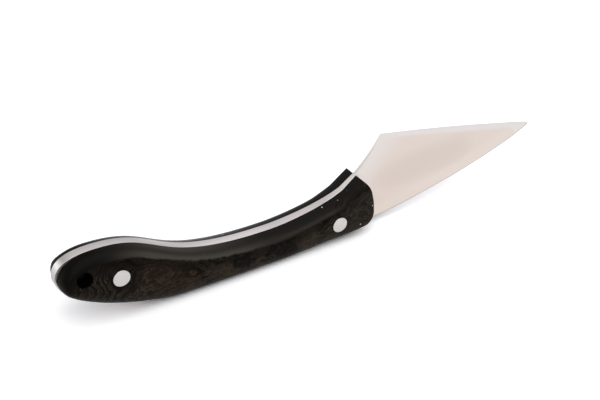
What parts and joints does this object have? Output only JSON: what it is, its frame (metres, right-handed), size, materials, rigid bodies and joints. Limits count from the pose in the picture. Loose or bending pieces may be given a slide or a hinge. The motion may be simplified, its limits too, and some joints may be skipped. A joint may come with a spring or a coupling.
{
  "type": "fixed-blade camping knife",
  "caption": "Fixed-blade camping knife with a straight cutting edge, a tall heel and a full tang riveted between two curved, contoured dark laminate scales with a lanyard hole.",
  "frame": {"origin": "middle of the knife's length and thickness, on the level back of the handle that it stands on", "axes": "+X from the butt to the point, +Y to the scale that the picture hides, +Z from the back up to the cutting edge"},
  "size_m": [0.2354, 0.0182, 0.0432],
  "materials": {
    "blade_steel": "fine satin grind",
    "rivet_steel": "ground flush and polished",
    "scale_laminate": "polished dark canvas laminate with brown contour figure"
  },
  "bodies": {
    "root": {"blade": "blade_steel", "left_scale": "scale_laminate", "right_scale": "scale_laminate", "rear_rivet_barrel": "rivet_steel", "rear_rivet_pin": "rivet_steel", "front_rivet_barrel": "rivet_steel", "front_rivet_pin": "rivet_steel"}
  },
  "joints": []
}
